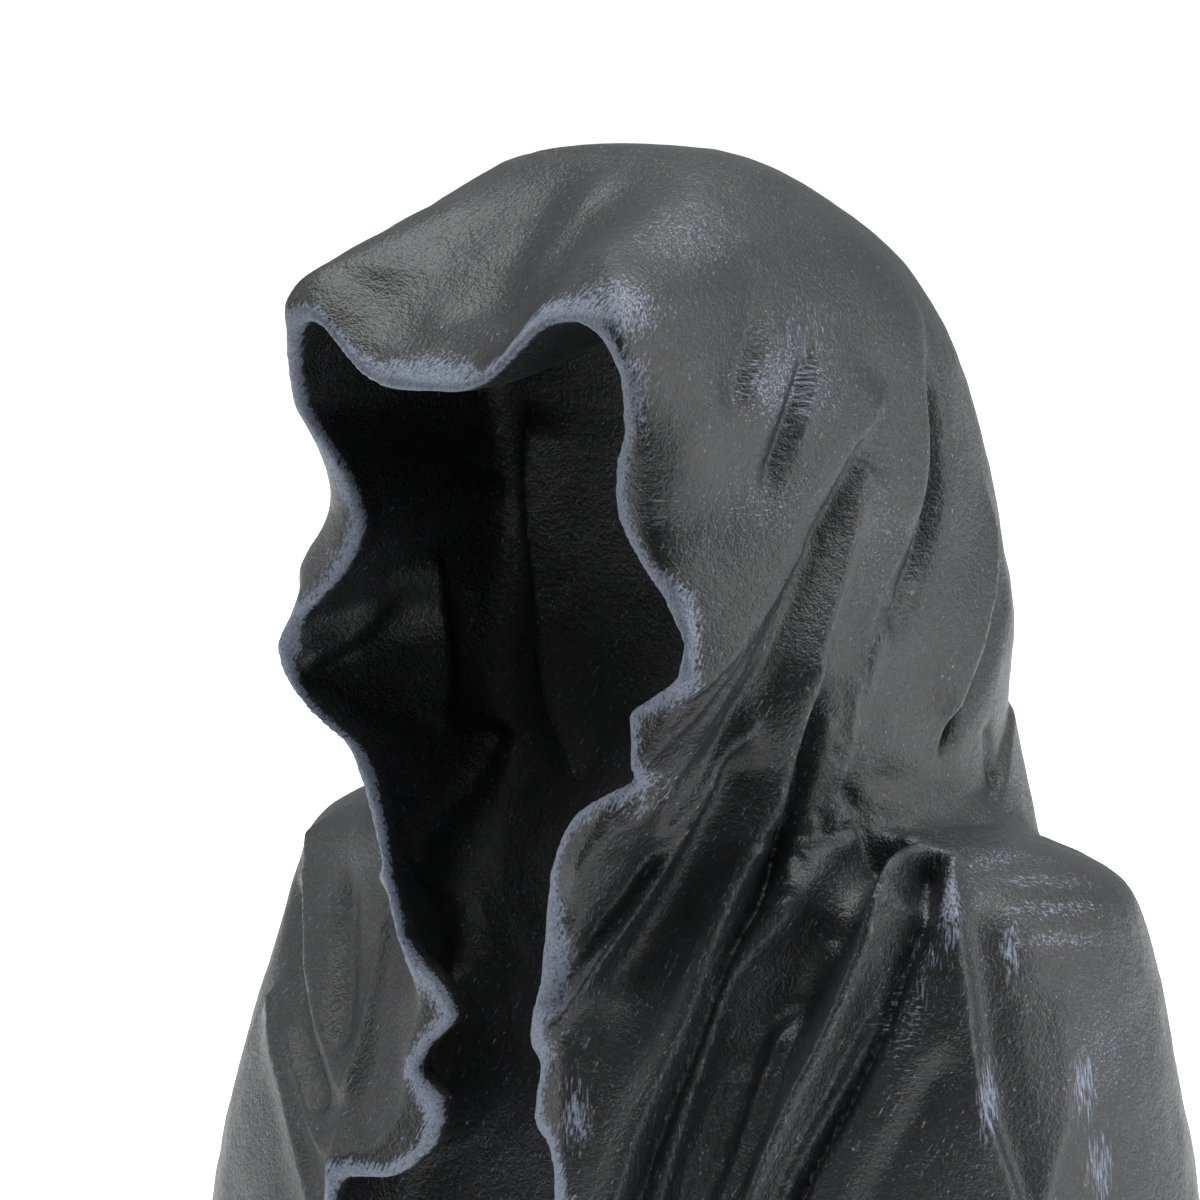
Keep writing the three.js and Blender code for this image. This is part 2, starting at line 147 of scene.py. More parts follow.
def fine_folds(name, first, last, count, height, width):
    """Small ridges side by side, from one line to another with as many points."""
    ridges = []
    for i in range(count):
        share = i / (count - 1)
        points = [(a + (c - a) * share, b + (d - b) * share) for (a, b), (c, d) in zip(first, last)]
        ridges.append(fold(f"{name} {i + 1}", points, height, width, width, fade=(2, 2.5)))
    return ridges


FOLDS = [
    # Roof
    fold("roof right ridge", [(-15.4, 19.4), (-12.7, 20.8), (-9.0, 22.8), (-4, 25.2)],
         0.5, 2.8, 2.6, (4, 6), 2),
    fold("roof hollow", [(-8.5, 16.0), (-5.2, 20.0), (-3.0, 24.0), (-1.0, 26.6)],
         -0.9, 2.6, 2.0, (3, 4), 2),
    fold("roof left ridge", [(-5.5, 18.4), (-2.2, 22.4), (0.6, 26.2)], 0.6, 1.3, 2.4, (3, 3), 2),
    # Side of the hood
    fold("temple groove", [(9.6, 20.6), (9.2, 16.8), (8.5, 13.7), (7.6, 10.6)], -0.85, 1.5, 0.9, (4, 3)),
    fold("temple ridge", [(10.7, 18.2), (10.2, 16), (9.3, 13.3), (8.3, 10.6)], 0.4, 0.6, 1.3, (3, 3)),
    fold("second temple groove", [(12.6, 17.0), (12.4, 14.2), (11.6, 11.2), (10.6, 8.6), (9.5, 5.4)],
         -0.9, 0.8, 0.6, (4, 3)),
    fold("second temple ridge", [(13.2, 16.0), (12.8, 13.6), (12.1, 11), (11.2, 8.2)],
         0.35, 0.4, 1.0, (3, 3)),
    fold("cheek", [(4.6, 12.5), (4.9, 8), (5.4, 4)], 0.7, 2.6, 3.2, (4, 4), 2),
    fold("cheek edge", [(17.3, 13.3), (16.1, 10.9), (14.2, 8.0), (12.9, 4.9), (11.5, 2.4), (9.9, -0.2),
                        (8.2, -2.6), (6.4, -4.6), (4.6, -6.2)], 0.8, 3.0, 0.45, (3, 2)),
    fold("valley behind the cheek", [(16.0, 9.4), (14.6, 6.2), (13.1, 3.0), (11.9, 0.0), (10.6, -3.0),
                                     (9.2, -6.0), (7.6, -9.0), (5.8, -12.2)], -1.5, 1.5, 1.4, (2, 5), 2),
    *fine_folds("rib in the valley", [(12.4, 4.0), (10.6, 0.4), (8.7, -2.8), (6.6, -5.6), (4.6, -7.8)],
                [(14.2, 4.6), (12.2, -0.6), (10.4, -4.4), (8.4, -8.2), (6.4, -11.6)], 4, 0.34, 0.34),
    *fine_folds("pleat on the lapel", [(6.8, -5.8), (4.8, -7.6), (3.2, -9.2), (1.8, -11.0)],
                [(8.6, -8.0), (6.2, -11.4), (4.4, -13.6), (2.6, -15.4)], 3, 0.28, 0.4),
    fold("long ridge", [(16.0, 8.8), (15.0, 5.4), (14.1, 2.2), (13.0, -1.4), (12.2, -4.2), (11.4, -7.0),
                        (10.8, -9.4), (10.1, -12.0), (9.2, -14.8), (8.1, -17.6), (7.1, -20.0),
                        (6.2, -22.8), (5.2, -25.4), (3.9, -28.0), (2.8, -30.4), (1.7, -33), (0.4, -37),
                        (-1.4, -43)],
         1.5, 1.6, 1.2, (1.2, ON), 1.6),
    fold("groove beside the long ridge", [(13.9, -3.4), (12.9, -6.6), (12.2, -9.6), (11.5, -12.4),
                                          (10.5, -15.4), (9.4, -18.2), (8.2, -20.6), (7.2, -23.2),
                                          (6.1, -26.2), (4.9, -29.2), (3.7, -32.2), (2.4, -36),
                                          (0, -43)],
         -1.3, 0.8, 0.5, (4, ON)),
    fold("jaw fold", [(18.7, 4.4), (17.7, 2.2), (16.7, 0.4), (16.0, -1.6), (15.7, -3.4)],
         0.45, 1.0, 0.5, (3, 2)),
    fold("back groove", [(19.0, 17.5), (19.9, 13.5), (20.4, 9.5), (20.3, 6.5), (19.8, 3.5), (19.0, 1.2),
                         (18.0, -0.6), (17.0, -2.4)], -1.3, 1.0, 0.7, (7, 2.5)),
    fold("crumpled end of the back groove", [(18.5, 1.2), (17.5, -0.8), (16.6, -2.6), (16.1, -4.2),
                                             (15.9, -5.8)], 0.5, 0.5, 0.4, (1.5, 1)),
    fold("ridge before the back groove", [(18.4, 19.0), (19.4, 15.8), (19.7, 12), (19.7, 8.5), (19.2, 5.6),
                                          (18.4, 3.0)], 0.5, 1.8, 0.6, (6, 4), 2),
    fold("nape ridge", [(23.0, 7.5), (23.4, 4.0), (23.2, 0.5), (22.6, -2.4), (21.6, -5.2), (20.6, -7.8)],
         0.7, 1.8, 0.45, (4, 2)),
    fold("nape groove", [(24.2, 2.5), (23.9, -0.6), (23.2, -2.8), (22.2, -5.0), (21.3, -7.0), (20.3, -9.6)],
         -1.7, 0.6, 1.5, (3.5, 2.0), taper=0.25),
    # Below the hood, on the figure's left
    fold("neck edge", [(15.8, -3.4), (15.0, -6.4), (14.7, -8.6), (14.2, -10.6), (14.3, -12.2),
                       (15.2, -13.6)], 0.7, 1.3, 0.35, (2, 1)),
    fold("strip left edge", [(13.6, -6.2), (13.2, -8), (12.7, -10), (12, -12.5), (11, -16), (9.5, -19.3)],
         0.45, 0.35, 1.4, (2, 3)),
    fold("crumpled strip", [(14.5, -5.2), (14.0, -8), (13.4, -11), (12.9, -14), (11.6, -16.8), (9.9, -19.6)],
         0.16, 0.9, 0.9, (1, 1), 2.5, taper=1.6, rough=0.6),
    fold("strip edge", [(15.9, -13.8), (14.4, -15.0), (12.8, -17.2), (11.2, -19.4), (9.6, -21.2),
                        (8.2, -22.6), (7.4, -24.4), (6.7, -26.4), (6.0, -28.4), (5.3, -30.6),
                        (4.7, -32.8), (3.7, -36), (1.8, -43)], 1.1, 1.5, 0.45, (1.0, ON), 1.4),
    fold("thin ridge", [(10.0, -6.2), (8.7, -8.4), (7.5, -10.3), (6.4, -12.0), (5.0, -14.3), (4.0, -16.0),
                        (2.6, -18.0), (1.0, -20.2), (-0.6, -22.4), (-2.0, -24.6), (-3.4, -26.8)],
         0.9, 0.55, 0.5, (2, 1.5), 1.3),
    fold("groove before the thin ridge", [(4.4, -14.2), (3.0, -16.0), (1.4, -18.0), (0.0, -19.8),
                                          (-1.2, -21.6), (-2.2, -23.6), (-3.0, -25.4)],
         -1.1, 0.9, 0.6, (2, 1.2)),
    fold("panel behind the thin ridge", [(9.4, -8.4), (7.8, -11.2), (6.3, -14.2), (4.7, -17.4),
                                         (3.0, -20.4), (1.2, -23.2), (-0.6, -25.6)],
         -1.3, 1.3, 1.5, (2.5, 4), 2.4),
    fold("lapel bulge", [(3.6, -11.6), (1.2, -13.4), (-1.0, -15.6), (-2.0, -18.6)],
         0.8, 1.8, 1.6, (2, 3), 2),
    fold("armpit valley", [(18.0, -14.2), (16.0, -15.8), (14.4, -18.2), (12.9, -20.8), (11.2, -23.8),
                           (9.4, -27.2), (7.9, -31.2), (6.4, -36),
                           (4.2, -43)], -2.7, 1.9, 1.6, (1.5, ON), 2.4),
    fold("middle fold", [(11.4, -24.0), (10.6, -26.0), (9.9, -28.0), (9.3, -30.0), (8.6, -32.0),
                         (7.7, -34.4), (7.0, -36.4), (5, -43)], 2.1, 1.5, 0.55, (2.5, ON), 1.5, taper=1.4),
    fold("second middle crest", [(9.4, -26.6), (8.0, -28.4), (7.1, -30.6), (6.3, -33.0), (5.4, -36),
                                 (3.4, -43)], 0.8, 0.45, 0.9, (3, ON)),
    fold("fold in the valley", [(13.4, -19.8), (12.7, -21.8), (12.0, -24.0)],
         0.35, 0.9, 0.5, (1, 1.5), 2),
    # Sleeve
    fold("sleeve roll", [(19.7, -15.0), (18.2, -16.0), (17.0, -18.0), (16.2, -20.4), (15.4, -22.8),
                         (14.6, -24.8), (13.8, -26.8), (12.9, -28.6), (12.0, -30.4), (11.2, -32.2),
                         (10.2, -34.4), (9.4, -36.4), (7, -43)], 1.7, 0.9, 1.0, (1.2, ON), 1.8),
    fold("outer groove", [(17.2, -21.4), (16.1, -24.0), (15.0, -26.4), (13.9, -28.6), (12.8, -30.8),
                          (11.7, -33.0), (10.3, -36), (8, -43)], -0.9, 0.55, 0.55, (3, ON)),
    fold("outer crease", [(17.3, -23.8), (16.4, -25.8), (15.3, -27.9), (14.1, -29.9), (13.0, -31.8),
                          (11.8, -34.0), (10.9, -36), (8.6, -43)], 0.8, 0.45, 0.5, (3, ON)),
    fold("sleeve groove", [(19.7, -15.8), (19.9, -17.8), (19.2, -20.2), (18.2, -22.4), (17.4, -24.6),
                           (16.4, -26.8), (15.1, -29.4), (13.7, -32.0), (11.9, -35.4), (9.6, -42)],
         -1.9, 0.9, 0.4, (0.8, ON)),
    fold("sleeve edge", [(21.0, -15.0), (21.2, -18.0), (21.5, -21.0), (22.0, -23.8), (22.3, -27.0),
                         (22.7, -30.0), (23.5, -32.4), (24.8, -36), (26, -43)], 0.9, 2.0, 0.5, (2, ON)),
    fold("elbow valley", [(21.3, -26.2), (20.2, -28.8), (18.6, -31.8), (16.4, -35.8), (14, -43)],
         -0.8, 0.9, 1.3,
         (3, ON), 2, taper=1.5),
    fold("sleeve panel", [(23.4, -17.8), (23.2, -22.0), (23.6, -26.0), (24.2, -30.0), (25.0, -35), (26, -43)],
         -0.4, 1.2, 1.4, (4, ON), 2),
    fold("sleeve step", [(27.2, -22.6), (27.9, -25.6), (28.0, -29), (27.6, -32.4), (26.6, -36.4), (25.6, -43)],
         0.5, 1.8, 0.3, (3, ON)),
    fold("hole at the sleeve's top", [(19.8, -15.7), (19.2, -16.8), (18.3, -18.4)],
         -0.8, 0.7, 0.8, (0.5, 1), 2),
    fold("crumpled sleeve roll", [(19.0, -15.8), (17.5, -17.8), (16.4, -20.4), (15.3, -23.6), (14.2, -26.0)],
         0.2, 0.8, 0.7, (0.5, 3), 2.5, rough=0.6),
    fold("crumpled middle fold", [(10.6, -26.0), (9.2, -29.0), (8.2, -32.0), (7.0, -36), (5, -43)],
         0.15, 0.6, 0.6, (1, ON), 2.5, taper=1.5, rough=0.6),
    fold("crumpled lapel", [(3.6, -11.0), (1.6, -13.4), (-0.6, -16.2)],
         0.14, 1.6, 1.6, (1, 2), 2.5, rough=0.7),
    # Where the hood meets the shoulder
    fold("pocket under the hood", [(13.9, -11.0), (14.8, -11.8), (15.6, -12.6)],
         -0.5, 0.5, 0.6, (0.6, 0.8), 2),
    fold("groove under the hood", [(15.4, -11.0), (18.4, -10.8), (22.0, -10.4)],
         -0.18, 0.8, 0.8, (2, 3), 2),
    fold("shoulder groove", [(15.6, -13.4), (17.6, -13.3), (20.4, -13.1), (24.0, -13.0)],
         -0.4, 0.8, 0.9, (1.5, 3), 2),
    fold("shoulder crease", [(16.4, -15.2), (18.0, -14.7), (19.3, -14.1)], 0.35, 0.4, 0.4, (1, 1)),
    fold("nub under the hood", [(16.3, -11.2), (16.5, -12.2), (16.8, -13.2)],
         0.25, 0.6, 0.6, (0.5, 0.5), rough=0.7),
    fold("collar flap", [(23.2, -7.0), (23.5, -9.0), (23.9, -11.4)], -0.45, 0.9, 0.35, (1, 1.5)),
    # The figure's right
    fold("right cheek", [(5.0, 7.0), (5.4, 4.6), (5.8, 1.6), (6.0, -1.0)], 1.6, 3.6, 3.6, (5, 3), 2,
         view=(-60, 0)),
    fold("cape edge", [(-16.9, -13.4), (-17.2, -16.6), (-17.3, -20), (-17.0, -23.4), (-16.3, -26.6),
                       (-15.1, -30.4)], 0.8, 0.5, 1.4, (1.5, 2)),
    fold("cape groove", [(-18.2, -16.5), (-18.3, -20), (-18.1, -23.4), (-17.5, -27), (-16.4, -31)],
         -1.0, 0.9, 0.5, (3, 2)),
    fold("second cape ridge", [(-19.5, -22.8), (-19.4, -26), (-18.7, -29.4), (-17.9, -32.6),
                               (-17.1, -36), (-15.4, -43)], 0.6, 1.2, 0.4, (2, ON)),
    fold("third cape ridge", [(-18.9, -25), (-18.2, -28.4), (-17.2, -31.4), (-16.3, -33.6)],
         0.5, 0.4, 0.4, (2, 2)),
    fold("right lapel line", [(-12.7, -16.2), (-12.9, -19), (-13.3, -22.4), (-14.0, -26), (-14.8, -29.6),
                              (-15.6, -33), (-16.1, -37), (-16.6, -43)], 0.6, 0.5, 1.0, (1.5, ON)),
    fold("right panel", [(-15.0, -15), (-15.2, -20), (-15.4, -25), (-15.6, -28.6)],
         -0.7, 1.0, 1.0, (3, 3), 2),
]
# The same inside the hollow, seen through the opening
INNER_FOLDS = [
    fold("cheek roll", [(-12.0, 0.8), (-14.1, -0.9), (-15.6, -2.3), (-18.6, -3.7)],
         0.9, 1.3, 1.0, (3, 1.5), 2),
    fold("groove under the roll", [(-14.4, -3.0), (-16.2, -4.2), (-18.0, -5.0)],
         -0.5, 0.7, 0.7, (1.5, 1)),
    fold("right inner fold", [(-10.4, 3.4), (-9.8, 0.6), (-9.4, -2.4), (-9.2, -5.4), (-9.6, -8.6)],
         1.0, 2.4, 0.5, (2, 2)),
    fold("hanging fold", [(-5.6, -7.2), (-6.7, -9.3), (-8.3, -11.3), (-10.2, -13.4), (-11.5, -14.8)],
         1.0, 1.0, 0.9, (1.5, 1.5)),
    fold("middle crease", [(-3.9, 12), (-4.0, 6), (-3.8, 3.4), (-3.4, 0), (-3.2, -4.3), (-2.8, -7.1),
                           (-1.9, -8.8), (-1.2, -10.9)], 0.8, 0.5, 1.8, (2, 2)),
]


def make_curve(stations):
    """A smooth curve through stations (x, a, b, ...) without overshoot, flat beyond its ends."""
    places = np.array([station[0] for station in stations], float)
    values = np.array([station[1:] for station in stations], float)
    step = np.diff(places)[:, None]
    rise = np.diff(values, axis=0) / step
    weight_before = 2 * step[1:] + step[:-1]
    weight_after = step[1:] + 2 * step[:-1]
    slopes = np.zeros_like(values)
    with np.errstate(divide="ignore", invalid="ignore"):
        mean = (weight_before + weight_after) / (weight_before / rise[:-1] + weight_after / rise[1:])
    slopes[1:-1] = np.where(rise[1:] * rise[:-1] > 0, mean, 0)
    slopes[0] = rise[0]
    slopes[-1] = rise[-1]
    fine = np.linspace(places[0], places[-1], 1400)
    i = np.clip(np.searchsorted(places, fine, side="right") - 1, 0, len(places) - 2)
    width = (places[i + 1] - places[i])[:, None]
    t = (fine - places[i])[:, None] / width
    table = (
        values[i] * (2 * t**3 - 3 * t**2 + 1)
        + slopes[i] * width * (t**3 - 2 * t**2 + t)
        + values[i + 1] * (3 * t**2 - 2 * t**3)
        + slopes[i + 1] * width * (t**3 - t**2)
    )

    def curve(x):
        found = [np.interp(x, fine, column).astype(np.float32) for column in table.T]
        return found if len(found) > 1 else found[0]

    return curve


rim_y = make_curve(RIM_Y)
left_edge = make_curve(LEFT_EDGE)
right_edge = make_curve(RIGHT_EDGE)
front_left = make_curve(FRONT_LEFT)
front_right = make_curve(FRONT_RIGHT)
hood_size = make_curve(HOOD)
wall_rounding = make_curve(WALL_ROUNDING)
robe_size = make_curve(ROBE)
hollow_back = make_curve(HOLLOW_BACK)
hollow_width = make_curve(HOLLOW_WIDTH)
collar_size = make_curve(COLLAR)


def ease(t):
    t = np.clip(t, 0, 1)
    return t * t * (3 - 2 * t)


def mix(a, b, share):
    return a + (b - a) * share


def soft_min(a, b, width):
    overlap = np.maximum(width - np.abs(a - b), 0) / width
    return np.minimum(a, b) - overlap * overlap * width / 4


def soft_max(a, b, width):
    return -soft_min(-a, -b, width)


def as_distance(field, step):
    """The field divided by its slope, so that it is close to a distance in millimetres."""
    slope = np.sqrt(sum(part * part for part in np.gradient(field, step)))
    return field / np.clip(slope, 0.25, 8)


def bow(x, y):
    """How far the brim hangs below its two corners."""
    return BRIM_BOW * np.exp(-(((x + 1) / 7.2) ** 4)) * ease((-y - 4) / 19)


def hood_field(x, y, z):
    level = z + bow(x, y)
    rim = rim_y(level)
    wide_left, wide_right, behind, middle = hood_size(level)
    power = wall_rounding(level) - 0.5 * ease((level - 48) / 5) * ease(-x / 4)
    share = ease((x + 1.5) / 3)
    wide = mix(wide_right, wide_left, share)
    edge = mix(front_right(level), front_left(level), share) + LIP
    closing = 1 - ease((level - 59) / 8)
    flat = np.minimum(edge, wide - 0.4) * closing
    side = np.maximum(np.abs(x) - flat, 0) / np.maximum(wide - flat, 0.3)
    front = np.maximum(middle - y, 0) / np.maximum(middle - rim, 0.5)
    rear = np.maximum(y - middle, 0) / np.maximum(behind - middle, 0.5)
    before = (side**power + front ** (power + 0.6)) ** (1 / power)
    after = ((np.abs(x) / np.maximum(wide, 0.3)) ** 2.1 + rear**2.1) ** (1 / 2.1)
    scale = np.maximum(wide, 1)
    step = x[1, 0, 0] - x[0, 0, 0]
    body = np.where(
        y < middle, as_distance((before - 1) * scale, step), as_distance((after - 1) * scale, step)
    )
    return soft_max(body, level - CROWN[2] - 0.1, 0.6)


def robe_field(x, y, z):
    wide, front_right, front_left, behind = robe_size(z)
    share = ease((x + 4) / 8)
    depth = np.where(y < 0, mix(front_right, front_left, share), behind)
    power = np.where(y < 0, 2.2 + 0.8 * share, 2.2)
    ring = ((np.abs(x) / wide) ** power + (np.abs(y) / depth) ** power) ** (1 / power)
    slope = mix(*SHOULDER_SLOPE, share)
    top = SHOULDER_HEIGHT - SHOULDER_TILT * np.tanh(x / 8) - slope * (np.abs(x) / 27) ** 4
    sinking = np.maximum(1 - np.maximum(top - z, 0) / SHOULDER_ROUNDING, 0)
    return soft_max((ring + 0.3 * sinking**3 - 1) * depth, z - top, 1.2)


def collar_field(x, y, z):
    wide, behind = collar_size(z)
    depth = np.where(y < 0, wide, behind)
    ring = ((np.abs(x) / wide) ** 2.1 + (np.abs(y) / depth) ** 2.1) ** (1 / 2.1)
    top = COLLAR_LOW + COLLAR_RISE * ease((y - 5) / 9)
    return soft_max(soft_max((ring - 1) * depth, z - top, 0.8), -3 - y, 1.5)


def hollow_field(x, y, z, outer):
    """The empty hood: straight back from its edge, and wider inside where the cloth leaves room."""
    level = z + bow(x, y)
    rim = rim_y(np.minimum(level, 58))
    edge = np.where(x > 0, left_edge(level), right_edge(level))
    back = hollow_back(level)
    inside = hollow_width(level)
    share = np.clip((y - rim - 0.4) / (back - rim), 0, 1)
    wall = edge + np.minimum(inside - edge, 0) * share**1.2
    straight = soft_max(np.abs(x) - wall, y - back, 1.5)
    undercut = soft_max(soft_max(np.abs(x) - inside, outer + CLOTH, 0.8), y - back, 3.0)
    return soft_max(soft_min(straight, undercut, 0.6), level - BRIM_HEIGHT, 2.5)


def view_axes(turn, rise):
    """Across, up and towards the eye, for a look from that side and height in degrees."""
    turn, rise = radians(turn), radians(rise)
    across = np.array([cos(turn), sin(turn), 0])
    toward = np.array([sin(turn) * cos(rise), -cos(turn) * cos(rise), sin(rise)])
    return across, np.cross(toward, across), toward


class Block:
    """A block of space in small steps, with fields on its points."""

    LOW = np.array([-37, -29, -1.5])
    HIGH = np.array([37, 28, 69.5])

    def __init__(self, step):
        self.step = step
        self.axes = [np.arange(low, high + step, step) for low, high in zip(self.LOW, self.HIGH)]
        self.x, self.y, self.z = np.meshgrid(*[a.astype(np.float32) for a in self.axes], indexing="ij")

    def sample(self, field, points):
        place = (points - self.LOW) / self.step
        cell = np.clip(np.floor(place).astype(int), 0, np.array(field.shape) - 2)
        share = np.clip(place - cell, 0, 1)
        total = 0
        for corner in np.ndindex(2, 2, 2):
            weight = np.ones(points.shape[:-1])
            for axis, upper in enumerate(corner):
                weight = weight * (share[..., axis] if upper else 1 - share[..., axis])
            at = tuple(cell[..., axis] + corner[axis] for axis in range(3))
            total = total + weight * field[at]
        return total

    def slope(self, field, points):
        shifts = np.eye(3) * self.step
        parts = [self.sample(field, points + d) - self.sample(field, points - d) for d in shifts]
        parts = np.stack(parts, -1)
        return parts / np.maximum(np.linalg.norm(parts, axis=-1, keepdims=True), 1e-9)

    def window(self, low, high):
        first = np.maximum(np.floor((low - self.LOW) / self.step).astype(int), 0)
        last = np.minimum(np.ceil((high - self.LOW) / self.step).astype(int) + 1, self.x.shape)
        return tuple(slice(a, b) for a, b in zip(first, last))


def rounded_line(points, spacing=0.6):
    """Points along a smooth line through the given ones."""
    points = np.array(points, float)
    run = np.vstack([2 * points[0] - points[1], points, 2 * points[-1] - points[-2]])
    line = []
    for a, b, c, d in zip(run, run[1:], run[2:], run[3:]):
        count = max(2, int(np.linalg.norm(c - b) / spacing))
        for t in np.arange(count) / count:
            bend = (2 * a - 5 * b + 4 * c - d) * t * t + (3 * b - a - 3 * c + d) * t**3
            line.append(b + (c - a) * t / 2 + bend / 2)
    line.append(points[-1])
    return np.array(line)


def cast(block, field, flat, view):
    """Where the eye's rays through the picture's points first meet the surface."""
    across, up, toward = view_axes(*view)
    eye = CAMERA_TARGET + toward * CAMERA_DISTANCE
    way = CAMERA_TARGET + flat[:, :1] * across + flat[:, 1:2] * up - eye
    way /= np.linalg.norm(way, axis=1, keepdims=True)
    stride = 0.35
    reach = 90
    travel = np.full(len(flat), CAMERA_DISTANCE - reach / 2)
    before = np.ones(len(flat))
    met = np.full(len(flat), np.nan)
    for _ in range(int(reach / stride)):
        value = block.sample(field, eye + way * travel[:, None])
        hit = np.isnan(met) & (value < 0) & (before > 0)
        met[hit] = travel[hit] + stride * value[hit] / np.maximum(before[hit] - value[hit], 1e-6)
        before = value
        travel = travel + stride
    return (eye + way * met[:, None])[~np.isnan(met)]


def soften(line, times):
    for _ in range(times):
        if len(line) > 2:
            line[1:-1] = (line[:-2] + 2 * line[1:-1] + line[2:]) / 4
    return line


def add_fold(block, field, near, line, normal, shape):
    """Raises or sinks the surface along a line in space."""
    if len(line) < 3:
        return
    left, right = shape["left"], shape["right"]
    margin = max(left, right) * max(shape["taper"], 1) * 3 + 0.5
    window = block.window(line.min(0) - margin, line.max(0) + margin)
    pick = np.nonzero(near[window])
    if len(pick[0]) == 0:
        return
    points = np.stack([axis[window][pick] for axis in (block.x, block.y, block.z)], 1)
    steps = np.diff(line, axis=0)
    lengths = np.maximum(np.linalg.norm(steps, axis=1), 1e-6)
    along = np.concatenate([[0], np.cumsum(lengths)])
    nearest = np.full(len(points), 1e9)
    place, side, above = np.zeros((3, len(points)))
    for i, step in enumerate(steps):
        forward = step / lengths[i]
        off = points - line[i]
        travel = np.clip(off @ forward, 0, lengths[i])
        off = off - travel[:, None] * forward
        distance = np.einsum("ij,ij->i", off, off)
        closer = distance < nearest
        out = (normal[i] + normal[i + 1]) / 2
        out = out - forward * (out @ forward)
        out /= max(np.linalg.norm(out), 1e-6)
        nearest[closer] = distance[closer]
        place[closer] = along[i] + travel[closer]
        side[closer] = off[closer] @ np.cross(out, forward)
        above[closer] = off[closer] @ out
    beyond = np.sqrt(np.maximum(nearest - side**2 - above**2, 0))
    width = np.where(side < 0, left, right) * mix(1, shape["taper"], place / along[-1])
    lift = np.exp(-(np.abs(side / width) ** shape["power"]) - (beyond / (0.5 * (left + right))) ** 2)
    lift *= ease(place / shape["fade"][0]) * ease((along[-1] - place) / shape["fade"][1])
    lift *= ease((FOLD_REACH - np.abs(above)) / (0.5 * FOLD_REACH))
    if shape["rough"]:
        lift *= unevenness(points, shape["rough"], 11)
    field[window][pick] -= (shape["height"] * lift).astype(field.dtype)


def add_folds(block, field, folds, seen=None):
    """Lays folds on a field, each where its line is seen on that field or on another one."""
    base = field.copy()
    near = np.abs(field) < FOLD_REACH
    for shape in folds:
        line = cast(block, base if seen is None else seen, rounded_line(shape["points"]), shape["view"])
        line = soften(line, 3)
        normal = soften(block.slope(base, line), 6)
        add_fold(block, field, near, line, normal, shape)


def surface_of(field, block):
    """One vertex in each cell that the zero level crosses, and a quad across each crossed edge."""
    inside = field < 0
    shape = np.array(field.shape)
    count = np.zeros(shape - 1, np.int8)
    for i, j, k in np.ndindex(2, 2, 2):
        count += inside[i:shape[0] - 1 + i, j:shape[1] - 1 + j, k:shape[2] - 1 + k]
    crossed = (count > 0) & (count < 8)
    cells = np.argwhere(crossed)
    number = np.full(crossed.shape, -1, np.int64)
    number[crossed] = np.arange(len(cells))
    total = np.zeros((len(cells), 3))
    found = np.zeros(len(cells))
    for axis in range(3):
        others = [k for k in range(3) if k != axis]
        for a, b in np.ndindex(2, 2):
            start = np.zeros(3, int)
            start[others] = a, b
            end = start.copy()
            end[axis] = 1
            low = field[tuple((cells + start).T)]
            high = field[tuple((cells + end).T)]
            cross = (low < 0) != (high < 0)
            spot = np.tile(start.astype(float), (len(cells), 1))
            spot[:, axis] = np.where(cross, low / np.where(cross, low - high, 1), 0)
            total += np.where(cross[:, None], spot, 0)
            found += cross
    vertices = (cells + total / found[:, None]) * block.step + block.LOW
    faces = []
    for axis in range(3):
        a, b = (axis + 1) % 3, (axis + 2) % 3
        low = np.take(inside, range(shape[axis] - 1), axis)
        high = np.take(inside, range(1, shape[axis]), axis)
        edges = np.argwhere(low != high)
        keep = (edges[:, a] > 0) & (edges[:, b] > 0)
        keep &= (edges[:, a] < shape[a] - 1) & (edges[:, b] < shape[b] - 1)
        edges = edges[keep]
        corners = []
        for back_a, back_b in ((1, 1), (0, 1), (0, 0), (1, 0)):
            cell = edges.copy()
            cell[:, a] -= back_a
            cell[:, b] -= back_b
            corners.append(number[tuple(cell.T)])
        quads = np.stack(corners, 1)
        leaving = low[tuple(edges.T)]
        quads[~leaving] = quads[~leaving][:, ::-1]
        faces.append(quads)
    return vertices, np.concatenate(faces)


def blurred(field, times):
    """The field averaged with its neighbours along each axis, a number of times."""
    for _ in range(times):
        for axis in range(3):
            field = (np.roll(field, 1, axis) + 2 * field + np.roll(field, -1, axis)) / 4
    return field


def unevenness(points, spacing, seed):
    """Smooth random numbers from -1 to 1 in space, with lumps that far apart."""
    size = 64
    lattice = np.random.default_rng(seed).uniform(-1, 1, (size, size, size))
    place = points / spacing
    cell = np.floor(place).astype(int)
    share = ease(place - cell)
    total = 0
    for corner in np.ndindex(2, 2, 2):
        weight = 1
        for axis, upper in enumerate(corner):
            weight = weight * (share[:, axis] if upper else 1 - share[:, axis])
        at = tuple((cell[:, axis] + corner[axis]) % size for axis in range(3))
        total = total + weight * lattice[at]
    return total


# How uneven the modelled surface is: spacing of the lumps, then their height
LUMPS = [(4.2, 0.10), (1.7, 0.05), (0.8, 0.03)]


